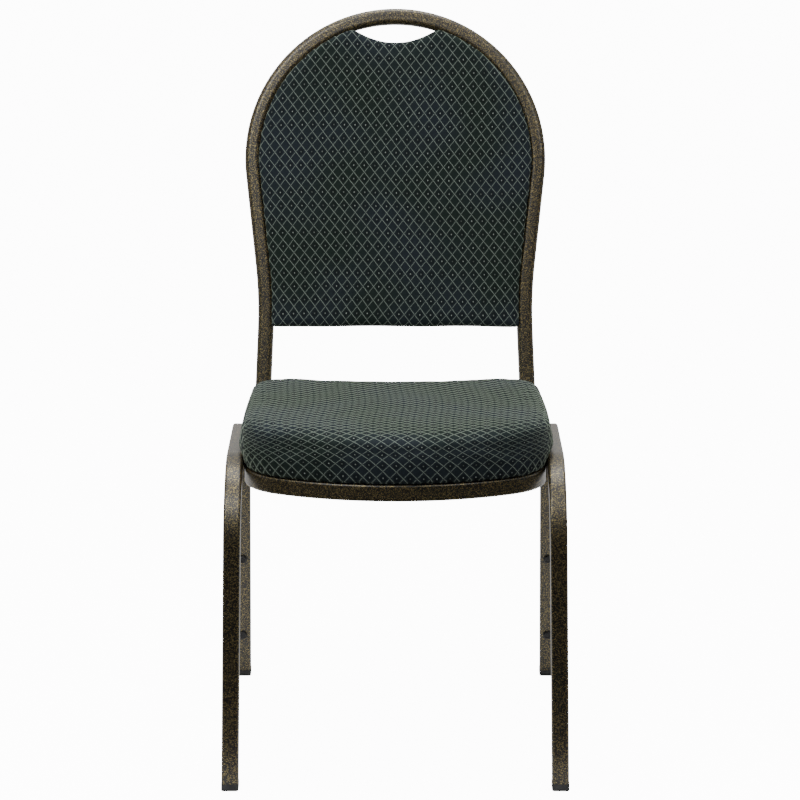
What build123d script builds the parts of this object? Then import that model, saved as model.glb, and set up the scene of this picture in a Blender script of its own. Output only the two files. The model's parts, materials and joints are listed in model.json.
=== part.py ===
"""Stacking banquet chair: two leg arches, a domed back hoop, a bowed seat frame and upholstered pads.

Frame of the part: origin on the floor under the middle of the chair's outline, +Z up, the front faces -Y.
Left and right are as seen by someone who stands in front of the chair: left is -X, right is +X.
All sizes are in millimetres.
"""

import math
import os

from build123d import *

os.makedirs("parts", exist_ok=True)

# ---- Square steel tube, used for the whole frame
TUBE = 22.2  # outside width, 7/8 inch
TUBE_CORNER = 3.5  # outside corner radius
HOOP_CORNER = 7.5  # the hoop's tube has rounder corners, to be soft in the hand
WALL = 1.5
HALF = TUBE / 2

# ---- Leg arches: front leg, side rail and rear leg bent from one tube
FRONT_Y = -244.3  # front face of the front legs
FOOT_INNER_X = 204.4  # inner face of the front leg at the floor
ARCH_SPLAY = 0.0204  # the arch leans in by this much for each unit of height
ARCH_TOE = 0.0150  # and spreads by this much for each unit of depth
BEND_RADIUS = 89.0  # of the tube's centreline
RAIL_TOP_Z = 430.0  # top of the side rail just behind the front bend
SEAT_SLOPE = 2.3  # degrees, the seat and the side rails fall to the rear
REAR_SWEEP = 17.0  # degrees from vertical
REAR_FOOT_Y = 466.6  # centre of the rear leg at the floor, behind the front face of the front leg

# ---- Feet and stacking bumpers
GLIDE_HEAD = 10.0
GLIDE_WIDTH = 23.0
GLIDE_STEM = 22.0
GLIDE_ROUND = 2.0
STEM_GAP = 0.2  # a stem is narrower than the tube's inside by this much
STEM_WALL = 2.0
STEM_ROOT = 5.0  # the stem starts this far inside the head
BUMPER_HEIGHTS = (200.0, 74.0)
BUMPER_HOLE_RADIUS = 4.5
BUMPER_HEAD_RADIUS = 6.2
BUMPER_HEAD_HEIGHT = 2.9
BUMPER_RIM_RADIUS = 4.2
BUMPER_DISH_HEIGHT = 2.2
BUMPER_DISH_RADIUS = 3.0
BUMPER_GAP = 0.1
BUMPER_BARB = 0.5
BUMPER_DEPTH = 8.0
BUMPER_TIP_RADIUS = 3.0

# ---- Back hoop, in its own leaning plane
LEAN = 11.5  # degrees
HOOP_BASE = (0, FRONT_Y + 380.0, 418.0)  # a point of the hoop's front face, at the height of the seat frame
DOME_RADIUS = 210.0 - HALF
DOME_CENTRE = 351.2
TAPER = 6.1  # degrees, the legs close in below the dome
TAPER_LENGTH = 125.8
WAIST_RADIUS = 600.0
FLARE = 2.4  # degrees, the legs open out again below the waist
HOOP_FOOT = -62.0
PLUG_CAP = 2.0
PLUG_STEM = 12.0

# ---- Seat frame, in its own sloping plane
SEAT_ORIGIN = (0, FRONT_Y, 417.8)
FRAME_HALF_WIDTH = 196.0
FRAME_FRONT = -18.5
FRONT_BOW = 300.0
FRONT_CORNER = 90.0
PLATE_FRONT = (112.0, 172.0)
PLATE_REAR = (330.0, 392.0)
PLATE_HEIGHTS = (-20.0, 6.0)
PLATE_REACH = 14.0
BRACE_DEPTHS = (150.0, 270.0)
BRACE_DROP = 4.0
FRAME_EXTRA = 30.0  # the frame's tube is drawn past the hoop and cut there
RAIL_INSET = 3.0  # the rear rail's centre is this far in front of the middle of the hoop's tube
TAB_DEPTHS = (118.0, 330.0)
TAB_LENGTH = 30.0
TAB_WIDTH = 28.0
TAB_THICK = 3.0
TAB_DROP = 4.0
BOLT_X = FRAME_HALF_WIDTH - TUBE - TAB_WIDTH / 2

# ---- Seat pad, measured from the top of the seat frame
CLOTH = 1.2
DUST_COVER = 0.8
DUST_COVER_INSET = 6.0
SEAT_BOARD = 11.0
BOARD_INSET = 7.6
SEAT_HEIGHT = 65.0
SEAT_REAR = 371.0
SEAT_REAR_CORNER = 36.0
LEAST_CORNER = 3.0
PAD_HALF_WIDTH = 197.4
PAD_FRONT = -25.0
PAD_BOW = 306.0
PAD_CORNER = 92.0
SEAT_TOP_ROUND = 26.0
SEAT_BEVEL = (6.0, 17.0)  # the pad draws in above the seat frame: width and height
SEAT_FLANGE = 36.0
STAPLE_CROWN = 10.0
STAPLE_WIRE = 0.6
STAPLE_LEG = 8.0
STAPLE_X = 167.0
STAPLE_STEP = 45.0  # between the staples along the front and the rear
STAPLE_REAR_Y = 346.0
SIDE_STAPLES = [(side * STAPLE_X, 100.0 + 40.0 * row, 90) for side in (-1, 1) for row in range(6)]
FRONT_STAPLES = [(STAPLE_STEP * (row - 2.5), 14.0 + 3.2 * (row - 2.5) ** 2, 0) for row in range(6)]
REAR_STAPLES = [(STAPLE_STEP * column, STAPLE_REAR_Y, 0) for column in range(-3, 4)]
STAPLE_PLACES = SIDE_STAPLES + FRONT_STAPLES + REAR_STAPLES

# ---- Seat fasteners
SEAT_BOLT = 3.0  # radius
TAB_CLEARANCE = 0.4
WASHER_CLEARANCE = 0.2
NUT_CLEARANCE = 0.1
WASHER_RADIUS = 7.0
WASHER_THICK = 1.2
TEE_FLANGE_RADIUS = 9.0
TEE_FLANGE = 1.2
TEE_BARREL_RADIUS = 4.0
TEE_BARREL = 8.0
BOLT_LENGTH = 18.0
BOLT_HEAD = 5.8
BOLT_HEAD_HEIGHT = 4.0

# ---- Back pad, measured along the hoop's plane, and forward from the hoop's front face
BACK_BOTTOM = 119.2
BACK_GAP = 1.0  # between the hoop and the cover
BACK_CORNER = 8.0
LEAST_BACK_CORNER = 1.5
NOTCH_LOW = 512.6
NOTCH_RADIUS = 95.0
HORN_ROUND = 8.0
BACK_PROUD = 9.0
BACK_BOARD_DEPTH = 4.0
BACK_BOARD = 9.0
BACK_BOARD_INSET = 5.0
BACK_ROUND = 7.0
BACK_FLANGE = 26.0
BACK_TAB_THICK = 2.5
BACK_TAB_REACH = 24.0
BACK_TAB_WIDTH = 22.0
BACK_SCREW_REACH = 15.0
BACK_SCREW = 2.0  # radius
BACK_SCREW_HOLE = 2.3
BACK_SCREW_LENGTH = 12.7
BACK_SCREW_TIP = 2.0
BACK_HEAD = 1.8
BACK_HEAD_RADIUS = 4.2
BACK_HEAD_TAPER = 0.6
BACK_TAB_ROOT = 4.0  # each tab is drawn this far into the hoop and cut there
PANEL_GAP = 0.2
CLIP_HEAD_RADIUS = 8.0
CLIP_HEAD = 2.0
CLIP_PIN_RADIUS = 3.0
CLIP_GRIP = 5.0  # how far the pin goes into the board
REAR_PANEL = 3.0
REAR_FOAM = 4.0
BACK_SIDE_TABS = ((165.0, 171.0), (290.0, 182.0))  # height along the hoop, distance from the middle
BACK_DOME_TAB = 52.0  # degrees above the dome's centre
PANEL_CLIPS = ((-110, 165), (110, 165), (-130, 330), (130, 330), (-70, 470), (70, 470))

SEAT = Plane(
    origin=SEAT_ORIGIN,
    x_dir=(1, 0, 0),
    z_dir=(0, math.sin(math.radians(SEAT_SLOPE)), math.cos(math.radians(SEAT_SLOPE))),
)
BACK = Plane(
    origin=HOOP_BASE,
    x_dir=(1, 0, 0),
    z_dir=(0, -math.cos(math.radians(LEAN)), math.sin(math.radians(LEAN))),
)
ARCH = Plane(
    origin=(FOOT_INNER_X + HALF, FRONT_Y, 0),
    x_dir=(ARCH_TOE, 1, 0),
    z_dir=(1, -ARCH_TOE, ARCH_SPLAY),
)


def save(part, name):
    """Labels a finished piece and writes it to its own file."""
    part.label = name
    export_step(part, f"parts/{name}.step")


def tube_section(solid, corner):
    """The square tube's cross-section, drawn in the sketch that is open."""
    RectangleRounded(TUBE, TUBE, corner)
    if not solid:
        inside = TUBE - 2 * WALL
        RectangleRounded(inside, inside, corner - WALL, mode=Mode.SUBTRACT)


def stem_section(corner=TUBE_CORNER):
    """The hollow stem of a plastic plug that fits inside the tube, drawn in the sketch that is open."""
    stem = TUBE - 2 * WALL - STEM_GAP
    hollow = stem - 2 * STEM_WALL
    RectangleRounded(stem, stem, corner - WALL)
    RectangleRounded(hollow, hollow, (corner - WALL) / 2, mode=Mode.SUBTRACT)


def tube_along(path, normal, solid=False, corner=TUBE_CORNER):
    """A tube bent along a flat path. normal is the direction square to the path's plane."""
    with BuildPart() as tube:
        add(path)
        with BuildSketch(Plane(origin=path @ 0, x_dir=normal, z_dir=path % 0)):
            tube_section(solid, corner)
        sweep(path=path)
    return tube.part


def straight_tube(start, end, side, solid=False):
    """A straight tube from one point to another."""
    return tube_along(Edge.make_line(start, end), side, solid)


# ---------------------------------------------------------------- leg arches
slope = math.tan(math.radians(SEAT_SLOPE))
sweep_back = math.tan(math.radians(REAR_SWEEP))
rail_z = RAIL_TOP_Z - HALF / math.cos(math.radians(SEAT_SLOPE))
rail_at_front = rail_z + slope * (BEND_RADIUS + HALF)  # where the rail's line meets the front face
front_corner = (HALF, rail_at_front - slope * HALF)
rear_corner_y = (REAR_FOOT_Y - sweep_back * rail_at_front) / (1 - sweep_back * slope)
rear_corner = (rear_corner_y, rail_at_front - slope * rear_corner_y)
below_floor = -20.0

with BuildLine(ARCH) as arch_line:
    FilletPolyline(
        (HALF, below_floor),
        front_corner,
        rear_corner,
        (REAR_FOOT_Y - sweep_back * below_floor, below_floor),
        radius=BEND_RADIUS,
    )
arch_path = arch_line.wires()[0]


def leg_plane(front):
    """A plane across the foot of a leg: its Z runs up the leg's axis, its Y points to the front."""
    if front:
        up = ARCH.y_dir
        foot = ARCH.from_local_coords((HALF, 0, 0))
    else:
        tilt = math.radians(REAR_SWEEP)
        up = ARCH.from_local_coords((-math.sin(tilt), math.cos(tilt), 0)) - ARCH.origin
        foot = ARCH.from_local_coords((REAR_FOOT_Y, 0, 0))
    return Plane(origin=foot, x_dir=ARCH.z_dir, z_dir=up)


def bumper_plane(height):
    """A plane on the front face of the rear leg at a height: its Z points out of the face."""
    leg = leg_plane(front=False)
    up = leg.z_dir * (height / leg.z_dir.Z)
    out = leg.y_dir if leg.y_dir.Y < 0 else -leg.y_dir
    return Plane(origin=leg.origin + up + out * HALF, x_dir=leg.x_dir, z_dir=out)


bumper_planes = [bumper_plane(height) for height in BUMPER_HEIGHTS]

with BuildPart() as leg_arch:
    add(tube_along(arch_path, ARCH.z_dir))
    split(bisect_by=Plane.XY.offset(GLIDE_HEAD), keep=Keep.TOP)
    for plane in bumper_planes:
        with BuildSketch(plane.offset(WALL)):
            Circle(BUMPER_HOLE_RADIUS)
        extrude(amount=-3 * WALL, mode=Mode.SUBTRACT)

save(leg_arch.part, "right_leg_arch")
save(mirror(leg_arch.part, about=Plane.YZ), "left_leg_arch")


# ---------------------------------------------------------------- foot glides
def glide(front):
    """A push-in plastic foot: a head the size of the tube, and a hollow stem inside the tube."""
    leg = leg_plane(front)
    with BuildPart() as foot:
        with BuildSketch(leg):
            RectangleRounded(GLIDE_WIDTH, GLIDE_WIDTH, TUBE_CORNER)
        extrude(amount=GLIDE_HEAD * 2, both=True)
        split(bisect_by=Plane.XY.offset(GLIDE_HEAD), keep=Keep.BOTTOM)
        split(bisect_by=Plane.XY, keep=Keep.TOP)
        fillet(foot.edges().group_by(Axis.Z)[0], radius=GLIDE_ROUND)
        with BuildSketch(leg.offset(GLIDE_HEAD - STEM_ROOT)):
            stem_section()
        extrude(amount=GLIDE_STEM)
    return foot.part


for place, front in (("front", True), ("rear", False)):
    foot = glide(front)
    save(foot, f"{place}_right_glide")
    save(mirror(foot, about=Plane.YZ), f"{place}_left_glide")


# ---------------------------------------------------------------- stacking bumpers in the rear legs
def bumper(plane):
    """A push-in bumper: a low dished head, and a stem with a barb behind the tube's wall."""
    with BuildPart() as plug:
        with BuildSketch(Plane(origin=plane.origin, x_dir=plane.z_dir, z_dir=plane.x_dir)):
            with BuildLine():
                Polyline(
                    (BUMPER_DISH_HEIGHT, 0),
                    (BUMPER_DISH_HEIGHT, BUMPER_DISH_RADIUS),
                    (BUMPER_HEAD_HEIGHT, BUMPER_RIM_RADIUS),
                )
                TangentArc(
                    (BUMPER_HEAD_HEIGHT, BUMPER_RIM_RADIUS),
                    (0, BUMPER_HEAD_RADIUS),
                    tangent=(0, 1),
                )
                Polyline(
                    (0, BUMPER_HEAD_RADIUS),
                    (0, BUMPER_HOLE_RADIUS - BUMPER_GAP),
                    (-WALL - BUMPER_GAP, BUMPER_HOLE_RADIUS - BUMPER_GAP),
                    (-WALL - BUMPER_BARB, BUMPER_HOLE_RADIUS + BUMPER_BARB),
                    (-BUMPER_DEPTH, BUMPER_TIP_RADIUS),
                    (-BUMPER_DEPTH, 0),
                    (BUMPER_DISH_HEIGHT, 0),
                )
            make_face()
        revolve(axis=Axis(plane.origin, plane.z_dir))
    return plug.part


for level, plane in zip(("upper", "lower"), bumper_planes):
    plug = bumper(plane)
    save(plug, f"{level}_right_bumper")
    save(mirror(plug, about=Plane.YZ), f"{level}_left_bumper")


# ---------------------------------------------------------------- back hoop
def hoop_half(offset, foot):
    """Draws the right half of the hoop's line from the top of the dome down, moved out by offset."""
    taper = math.radians(TAPER)
    flare = math.radians(FLARE)
    dome = DOME_RADIUS + offset
    waist = WAIST_RADIUS - offset
    dome_end = (dome * math.cos(taper), DOME_CENTRE - dome * math.sin(taper))
    waist_top = (
        dome_end[0] - TAPER_LENGTH * math.sin(taper),
        dome_end[1] - TAPER_LENGTH * math.cos(taper),
    )
    waist_centre = (waist_top[0] + waist * math.cos(taper), waist_top[1] - waist * math.sin(taper))
    waist_end = (waist_centre[0] - waist * math.cos(flare), waist_centre[1] - waist * math.sin(flare))
    CenterArc((0, DOME_CENTRE), dome, -TAPER, 90 + TAPER)
    Line(dome_end, waist_top)
    CenterArc(waist_centre, waist, 180 - TAPER, TAPER + FLARE)
    foot_x = waist_end[0] + (waist_end[1] - foot) * math.tan(flare)
    Line(waist_end, (foot_x, foot))
    return foot_x


with BuildLine(BACK.offset(-HALF)) as hoop_line:
    hoop_half(0, HOOP_FOOT)
    mirror(about=Plane.YZ)
hoop_path = hoop_line.wires()[0]

hoop_solid = tube_along(hoop_path, BACK.z_dir, solid=True, corner=HOOP_CORNER)
back_hoop = tube_along(hoop_path, BACK.z_dir, corner=HOOP_CORNER)
save(back_hoop, "back_hoop")


def end_plug_plane(side):
    """A plane across the open lower end of the hoop, on one side."""
    end = min((0, 1), key=lambda where: (hoop_path @ where).X * -side)
    inward = hoop_path % end
    inward = inward if inward.Z > 0 else -inward
    return Plane(origin=hoop_path @ end, x_dir=BACK.z_dir, z_dir=inward)


with BuildPart() as hoop_plugs:
    for side in (-1, 1):
        plane = end_plug_plane(side)
        with BuildSketch(plane):
            RectangleRounded(TUBE, TUBE, HOOP_CORNER)
        extrude(amount=-PLUG_CAP)
        with BuildSketch(plane):
            stem_section(HOOP_CORNER)
        extrude(amount=PLUG_STEM)
save(hoop_plugs.part, "hoop_end_plugs")


# ---------------------------------------------------------------- seat frame
class Outline:
    """A seat outline: a bowed front, two round front corners and straight sides, all moved in by inset."""

    def __init__(self, half_width, front, bow, corner, inset=0.0):
        self.side = half_width - inset
        self.bow = bow - inset
        self.corner = corner - inset
        self.bow_centre = front + bow
        self.corner_x = self.side - self.corner
        self.corner_y = self.bow_centre - math.sqrt((self.bow - self.corner) ** 2 - self.corner_x**2)
        self.meet = math.degrees(math.atan2(self.bow_centre - self.corner_y, self.corner_x))

    def draw_right(self, rear):
        """Draws the right half, from the middle of the front to the rear end of the side."""
        CenterArc((0, self.bow_centre), self.bow, -90, 90 - self.meet)
        CenterArc((self.corner_x, self.corner_y), self.corner, -self.meet, self.meet)
        Line((self.side, self.corner_y), (self.side, rear))


frame_outline = Outline(FRAME_HALF_WIDTH, FRAME_FRONT, FRONT_BOW, FRONT_CORNER, HALF)
with BuildLine(SEAT.offset(-HALF)) as frame_line:
    frame_outline.draw_right(SEAT_REAR + FRAME_EXTRA)
    mirror(about=Plane.YZ)
frame_path = frame_line.wires()[0]

with BuildPart() as seat_frame:
    add(tube_along(frame_path, SEAT.z_dir))
    split(bisect_by=BACK, keep=Keep.TOP)
save(seat_frame.part, "seat_frame")

brace_half = FRAME_HALF_WIDTH - TUBE
for name, depth in zip(("front_brace", "rear_brace"), BRACE_DEPTHS):
    height = -HALF - BRACE_DROP
    brace = straight_tube(
        SEAT.from_local_coords((-brace_half, depth, height)),
        SEAT.from_local_coords((brace_half, depth, height)),
        SEAT.z_dir,
    )
    save(brace, name)

rail_depth = BACK.origin.Y - SEAT.origin.Y + HALF - RAIL_INSET
with BuildPart() as rear_rail:
    height = -HALF - BRACE_DROP
    add(
        straight_tube(
            SEAT.from_local_coords((-FRAME_HALF_WIDTH + HALF, rail_depth, height)),
            SEAT.from_local_coords((FRAME_HALF_WIDTH - HALF, rail_depth, height)),
            SEAT.z_dir,
        )
    )
    add(hoop_solid, mode=Mode.SUBTRACT)
middle_rail = max(rear_rail.part.solids(), key=lambda solid: solid.volume)
save(Part() + middle_rail, "rear_rail")


def side_plates(name, depths):
    """A pair of wedge plates, welded in the gaps between the arches and the frame."""
    with BuildPart() as plate:
        with BuildSketch(SEAT.offset(PLATE_HEIGHTS[0])):
            with Locations((FRAME_HALF_WIDTH, depths[0])):
                Rectangle(PLATE_REACH, depths[1] - depths[0], align=Align.MIN)
        extrude(amount=PLATE_HEIGHTS[1] - PLATE_HEIGHTS[0])
        split(bisect_by=ARCH.offset(-HALF), keep=Keep.BOTTOM)
        add(hoop_solid, mode=Mode.SUBTRACT)
    save(plate.part + mirror(plate.part, about=Plane.YZ), name)


side_plates("front_side_plates", PLATE_FRONT)
side_plates("rear_side_plates", PLATE_REAR)


# ---------------------------------------------------------------- seat tabs and fasteners
def at_bolts(height):
    """The four seat bolt places at a height above the seat frame, for a Locations block."""
    return [(side * BOLT_X, depth, height) for side in (-1, 1) for depth in TAB_DEPTHS]


def round_part(profile):
    """A round solid about Z from half its section, given as (radius, height) points."""
    with BuildPart() as body:
        with BuildSketch(Plane.XZ):
            with BuildLine():
                Polyline(*profile, profile[0])
            make_face()
        revolve(axis=Axis.Z)
    return body.part


tab_top = -TAB_DROP
tab_bottom = tab_top - TAB_THICK
with BuildPart(SEAT) as seat_tabs:
    with Locations(*at_bolts(tab_top)):
        with Locations((0, 0, -TAB_THICK / 2)):
            Box(TAB_WIDTH, TAB_LENGTH, TAB_THICK)
            Hole(SEAT_BOLT + TAB_CLEARANCE)
save(seat_tabs.part, "seat_tabs")

washer_bottom = tab_bottom - WASHER_THICK
with BuildPart(SEAT) as seat_washers:
    with Locations(*at_bolts(tab_bottom)):
        with Locations((0, 0, -WASHER_THICK / 2)):
            Cylinder(WASHER_RADIUS, WASHER_THICK)
            Hole(SEAT_BOLT + WASHER_CLEARANCE)
save(seat_washers.part, "seat_washers")

with BuildPart(SEAT) as seat_bolts:
    with Locations(*at_bolts(washer_bottom)):
        Cylinder(SEAT_BOLT, BOLT_LENGTH, align=(Align.CENTER, Align.CENTER, Align.MIN))
    with BuildSketch(SEAT.offset(washer_bottom)):
        with Locations(*[(x, y) for x, y, _ in at_bolts(0)]):
            RegularPolygon(BOLT_HEAD, 6)
    extrude(amount=-BOLT_HEAD_HEIGHT)
save(seat_bolts.part, "seat_bolts")

# ---------------------------------------------------------------- seat pad
board_bottom = DUST_COVER + CLOTH
board_top = board_bottom + SEAT_BOARD

with BuildPart(SEAT) as tee_nuts:
    with Locations(*at_bolts(board_top)):
        Cylinder(TEE_FLANGE_RADIUS, TEE_FLANGE, align=(Align.CENTER, Align.CENTER, Align.MIN))
        Cylinder(TEE_BARREL_RADIUS, TEE_BARREL, align=(Align.CENTER, Align.CENTER, Align.MAX))
        Hole(SEAT_BOLT + NUT_CLEARANCE)
save(tee_nuts.part, "seat_tee_nuts")


def off_middle(vertex):
    """True for a corner, false for a point on the middle line."""
    return abs(vertex.X) > 1


def seat_slab(inset, bottom, thick):
    """A flat slab with the seat outline and round rear corners, moved in by inset."""
    outline = Outline(PAD_HALF_WIDTH, PAD_FRONT, PAD_BOW, PAD_CORNER, inset)
    rear = SEAT_REAR - inset
    with BuildPart() as slab:
        with BuildSketch(SEAT.offset(bottom)) as face:
            with BuildLine() as loop:
                outline.draw_right(rear)
                Line((outline.side, rear), (0, rear))
                mirror(about=Plane.YZ)
            make_face(loop.edges())
            rear_points = face.vertices().group_by(Axis.Y)[-1]
            fillet(rear_points.filter_by(off_middle), max(SEAT_REAR_CORNER - inset, LEAST_CORNER))
        extrude(amount=thick)
    return slab.part


def seat_block(inset, bottom, top):
    """The pad's rounded shape, moved in by inset, between two heights above the seat frame."""
    with BuildPart() as block:
        add(seat_slab(inset, bottom, top - bottom))
        fillet(block.faces().filter_by(SEAT).sort_by(Axis.Z)[-1].edges(), SEAT_TOP_ROUND - inset)
        underside = block.faces().filter_by(SEAT).sort_by(Axis.Z)[0]
        chamfer(underside.edges(), length=SEAT_BEVEL[0], length2=SEAT_BEVEL[1], reference=underside)
    return block.part


with BuildPart(SEAT) as bolt_bores:
    with Locations(*at_bolts(0)):
        Cylinder(TEE_BARREL_RADIUS, 2 * board_top)

with BuildPart() as staple:
    with BuildSketch(Plane.XZ):
        Rectangle(STAPLE_CROWN, STAPLE_LEG, align=(Align.CENTER, Align.MIN))
        with Locations((0, STAPLE_WIRE)):
            inside = STAPLE_CROWN - 2 * STAPLE_WIRE
            Rectangle(inside, STAPLE_LEG, align=(Align.CENTER, Align.MIN), mode=Mode.SUBTRACT)
    extrude(amount=STAPLE_WIRE / 2, both=True)

with BuildPart(SEAT) as staples:
    for x, y, turn in STAPLE_PLACES:
        with Locations(Location((x, y, -STAPLE_WIRE), (0, 0, turn))):
            add(staple.part)
save(staples.part, "seat_staples")

with BuildPart() as seat_board:
    add(seat_slab(BOARD_INSET, board_bottom, SEAT_BOARD))
    add(bolt_bores.part, mode=Mode.SUBTRACT)
    add(staples.part, mode=Mode.SUBTRACT)
save(seat_board.part, "seat_board")

with BuildPart() as seat_foam:
    add(seat_block(CLOTH, board_bottom, SEAT_HEIGHT - CLOTH))
    add(seat_slab(BOARD_INSET, board_bottom, SEAT_BOARD), mode=Mode.SUBTRACT)
    add(tee_nuts.part, mode=Mode.SUBTRACT)
save(seat_foam.part, "seat_foam")

with BuildPart() as seat_cover:
    add(seat_block(0, DUST_COVER, SEAT_HEIGHT))
    add(seat_block(CLOTH, board_bottom, SEAT_HEIGHT - CLOTH), mode=Mode.SUBTRACT)
    add(seat_slab(BOARD_INSET + SEAT_FLANGE, 0, board_bottom + 1), mode=Mode.SUBTRACT)
    add(bolt_bores.part, mode=Mode.SUBTRACT)
    add(staples.part, mode=Mode.SUBTRACT)
save(seat_cover.part, "seat_cover")

with BuildPart() as dust_cover:
    add(seat_slab(BOARD_INSET + DUST_COVER_INSET, 0, DUST_COVER))
    add(bolt_bores.part, mode=Mode.SUBTRACT)
    add(staples.part, mode=Mode.SUBTRACT)
save(dust_cover.part, "seat_dust_cover")


# ---------------------------------------------------------------- back pad
def back_face(inset):
    """Draws the pad's outline in the open sketch: the hoop's inside, with a hand-hold at the top."""
    with BuildLine() as loop:
        foot_x = hoop_half(-HALF - BACK_GAP - inset, 0)
        Line((foot_x, 0), (0, 0))
        mirror(about=Plane.YZ)
    make_face(loop.edges())
    Rectangle(2 * DOME_RADIUS, 2 * (BACK_BOTTOM + inset), mode=Mode.SUBTRACT)
    with Locations((0, NOTCH_LOW + NOTCH_RADIUS)):
        Circle(NOTCH_RADIUS + inset, mode=Mode.SUBTRACT)


def back_slab(inset, rear, front):
    """A slab of the back pad's outline, between two depths measured forward from the hoop's front face."""
    with BuildPart() as slab:
        with BuildSketch(BACK.offset(rear)) as face:
            back_face(inset)
            low_points = face.vertices().group_by(Axis.Y)[0]
            fillet(low_points.filter_by(off_middle), max(BACK_CORNER - inset, LEAST_BACK_CORNER))
            horns = face.vertices().sort_by(Axis.Y)[-2:]
            fillet(horns, max(HORN_ROUND - inset, LEAST_BACK_CORNER))
        extrude(amount=front - rear)
    return slab.part


def back_block(inset, rear, front):
    """The same slab with its front edge rounded."""
    with BuildPart() as block:
        add(back_slab(inset, rear, front))
        fillet(block.faces().filter_by(BACK).sort_by(Axis.Y)[0].edges(), BACK_ROUND - inset)
    return block.part


board_front = -BACK_BOARD_DEPTH
board_rear = board_front - BACK_BOARD
tab_front = board_rear - CLOTH
tab_rear = tab_front - BACK_TAB_THICK
panel_front = tab_rear - BACK_HEAD - PANEL_GAP
panel_rear = panel_front - REAR_PANEL
rear_foam_rear = panel_rear - REAR_FOAM


def back_tab_places():
    """Where the six back tabs meet the inside of the hoop, with each one's direction inwards."""
    inner = DOME_RADIUS - HALF
    places = []
    for side in (-1, 1):
        for height, reach in BACK_SIDE_TABS:
            places.append((side * reach, height, 180 if side > 0 else 0))
        angle = math.radians(BACK_DOME_TAB)
        x = inner * math.cos(angle)
        y = DOME_CENTRE + inner * math.sin(angle)
        places.append((side * x, y, 180 + BACK_DOME_TAB if side > 0 else -BACK_DOME_TAB))
    return places


tab_places = back_tab_places()
with BuildPart() as back_tabs:
    for x, y, towards in tab_places:
        with BuildSketch(BACK.offset(tab_rear) * Location((x, y, 0), (0, 0, towards))):
            with Locations(((BACK_TAB_REACH - BACK_TAB_ROOT) / 2, 0)):
                Rectangle(BACK_TAB_REACH + BACK_TAB_ROOT, BACK_TAB_WIDTH)
            with Locations((BACK_SCREW_REACH, 0)):
                Circle(BACK_SCREW_HOLE, mode=Mode.SUBTRACT)
        extrude(amount=BACK_TAB_THICK)
    add(hoop_solid, mode=Mode.SUBTRACT)
save(back_tabs.part, "back_tabs")

screw_profile = (
    (0, -BACK_HEAD),
    (BACK_HEAD_RADIUS - BACK_HEAD_TAPER, -BACK_HEAD),
    (BACK_HEAD_RADIUS, 0),
    (BACK_SCREW, 0),
    (BACK_SCREW, BACK_SCREW_LENGTH - BACK_SCREW_TIP),
    (0, BACK_SCREW_LENGTH),
)
screw_places = []
for x, y, towards in tab_places:
    turn = math.radians(towards)
    screw_x = x + BACK_SCREW_REACH * math.cos(turn)
    screw_y = y + BACK_SCREW_REACH * math.sin(turn)
    screw_places.append((screw_x, screw_y, tab_rear))
with BuildPart(BACK) as back_screws:
    with Locations(*screw_places):
        add(round_part(screw_profile))
save(back_screws.part, "back_screws")

clip_pin = board_rear - panel_front + CLIP_GRIP
with BuildPart(BACK) as panel_clips:
    with Locations(*[(x, y, panel_front) for x, y in PANEL_CLIPS]):
        Cylinder(CLIP_HEAD_RADIUS, CLIP_HEAD, align=(Align.CENTER, Align.CENTER, Align.MIN))
        Cylinder(CLIP_PIN_RADIUS, clip_pin, align=(Align.CENTER, Align.CENTER, Align.MIN))
save(panel_clips.part, "back_panel_clips")

with BuildPart() as back_board:
    add(back_slab(BACK_BOARD_INSET, board_rear, board_front))
    add(back_screws.part, mode=Mode.SUBTRACT)
    add(panel_clips.part, mode=Mode.SUBTRACT)
save(back_board.part, "back_board")

with BuildPart() as back_foam:
    add(back_block(CLOTH, board_rear, BACK_PROUD - CLOTH))
    add(back_slab(BACK_BOARD_INSET, board_rear, board_front), mode=Mode.SUBTRACT)
save(back_foam.part, "back_foam")

with BuildPart() as back_cover:
    add(back_block(0, board_rear - CLOTH, BACK_PROUD))
    add(back_block(CLOTH, board_rear, BACK_PROUD - CLOTH), mode=Mode.SUBTRACT)
    add(back_slab(BACK_FLANGE, board_rear - CLOTH, board_rear), mode=Mode.SUBTRACT)
    add(back_screws.part, mode=Mode.SUBTRACT)
save(back_cover.part, "back_cover")

save(back_slab(2 * CLOTH, panel_rear, panel_front), "rear_panel")

rear_foam = back_slab(2 * CLOTH, rear_foam_rear, panel_rear)
save(rear_foam, "rear_foam")

with BuildPart() as rear_cover:
    add(back_slab(CLOTH, rear_foam_rear - CLOTH, panel_front))
    add(back_slab(2 * CLOTH, rear_foam_rear, panel_front), mode=Mode.SUBTRACT)
save(rear_cover.part, "rear_cover")
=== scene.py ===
# %% [markdown]
# # A stacking banquet chair
#
# The chair is a welded frame of square steel tube with an upholstered seat and back. The CAD model already
# holds every hard part: the bent tubes, the braces, the plastic feet, the boards and the screws. What is left
# for Blender is what an upholsterer and a painter do. Three pads are shaped and covered here, one for the seat
# and one for each side of the back, and every surface gets its finish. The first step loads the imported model,
# which every later step measures itself against.

# %% Load the frame
import json
import math

import bmesh
import bpy
from mathutils import Matrix, Vector


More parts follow.
